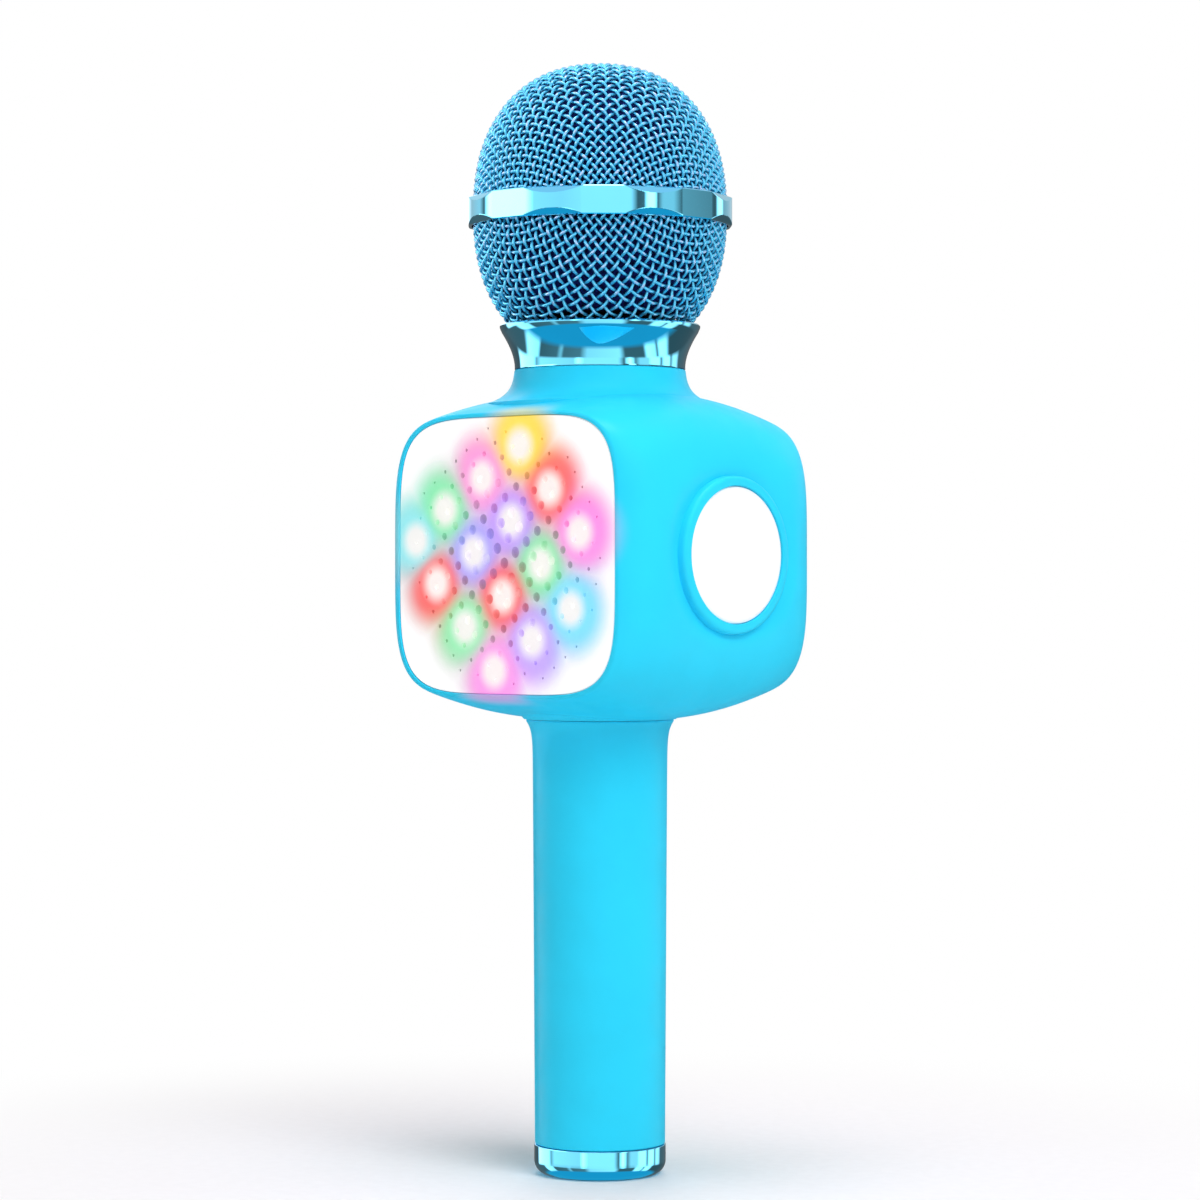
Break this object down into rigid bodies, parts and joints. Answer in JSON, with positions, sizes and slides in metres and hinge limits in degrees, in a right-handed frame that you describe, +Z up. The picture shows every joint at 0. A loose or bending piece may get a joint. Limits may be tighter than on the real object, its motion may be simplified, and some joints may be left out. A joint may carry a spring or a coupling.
{
  "type": "toy karaoke microphone",
  "caption": "Handheld toy karaoke microphone: woven ball head, rounded cube housing with white light panels, round boss and keys, and a straight handle.",
  "frame": {"origin": "centre of the flat foot at the end of the handle, which it stands on", "axes": "+Z runs up the handle to the head; -Y is the front light panel's outward direction; +X is the badge side and -X the key side"},
  "size_m": [0.0826, 0.0612, 0.2485],
  "materials": {
    "body_plastic": "satin sky-blue moulded plastic",
    "grille_wire": "woven steel wire, lacquered metallic blue",
    "plated_cyan": "mirror plating with a cyan tint",
    "panel_white": "smooth white diffusing plastic, lit from behind",
    "badge_white": "plain glossy white",
    "foam_navy": "open-cell foam, dark navy",
    "circuit_board": "green solder mask",
    "dark_plastic": "black moulded plastic",
    "speaker_cone": "pressed paper cone",
    "cell_wrap": "shrink wrap over a steel can",
    "mount_rubber": "soft black rubber",
    "contact_brass": "bright brass",
    "steel": "plain zinc-plated steel"
  },
  "bodies": {
    "microphone": {"audio_socket": "dark_plastic", "battery_cell": "cell_wrap", "battery_contact_high": "contact_brass", "battery_contact_low": "contact_brass", "battery_sleeve": "dark_plastic", "body_housing": "body_plastic", "capsule_mount": "mount_rubber", "card_socket": "steel", "charge_board": "circuit_board", "charge_socket": "steel", "control_plate": "badge_white", "end_cap": "dark_plastic", "end_cap_screw_1": "steel", "end_cap_screw_2": "steel", "end_ring": "plated_cyan", "foam_filter": "foam_navy", "front_light_board": "circuit_board", "front_panel": "panel_white", "front_speaker_cone": "speaker_cone", "front_speaker_frame": "dark_plastic", "front_speaker_magnet": "steel", "front_speaker_screw_1": "steel", "front_speaker_screw_2": "steel", "front_speaker_screw_3": "steel", "front_speaker_screw_4": "steel", "grille_band": "plated_cyan", "handle_tube": "body_plastic", "key_board": "circuit_board", "lower_grille": "grille_wire", "main_board": "circuit_board", "mic_capsule": "steel", "neck_collar": "plated_cyan", "rear_light_board": "circuit_board", "rear_panel": "panel_white", "rear_speaker_cone": "speaker_cone", "rear_speaker_frame": "dark_plastic", "rear_speaker_magnet": "steel", "rear_speaker_screw_1": "steel", "rear_speaker_screw_2": "steel", "rear_speaker_screw_3": "steel", "rear_speaker_screw_4": "steel", "side_badge": "badge_white", "thread_ring": "steel", "upper_grille": "grille_wire"},
    "key_play_body": {"key_play": "badge_white"},
    "key_volume_up_body": {"key_volume_up": "badge_white"},
    "key_volume_down_body": {"key_volume_down": "badge_white"},
    "key_next_body": {"key_next": "badge_white"},
    "key_previous_body": {"key_previous": "badge_white"}
  },
  "joints": [
    {"name": "play_press", "type": "slide", "parent": "microphone", "child": "key_play_body", "axis": [1, 0, 0], "range_m": [0, 0.0006], "stiffness_N_per_m": 500},
    {"name": "volume_up_press", "type": "slide", "parent": "microphone", "child": "key_volume_up_body", "axis": [1, 0, 0], "range_m": [0, 0.0006], "stiffness_N_per_m": 500},
    {"name": "volume_down_press", "type": "slide", "parent": "microphone", "child": "key_volume_down_body", "axis": [1, 0, 0], "range_m": [0, 0.0006], "stiffness_N_per_m": 500},
    {"name": "next_press", "type": "slide", "parent": "microphone", "child": "key_next_body", "axis": [1, 0, 0], "range_m": [0, 0.0006], "stiffness_N_per_m": 500},
    {"name": "previous_press", "type": "slide", "parent": "microphone", "child": "key_previous_body", "axis": [1, 0, 0], "range_m": [0, 0.0006], "stiffness_N_per_m": 500}
  ]
}
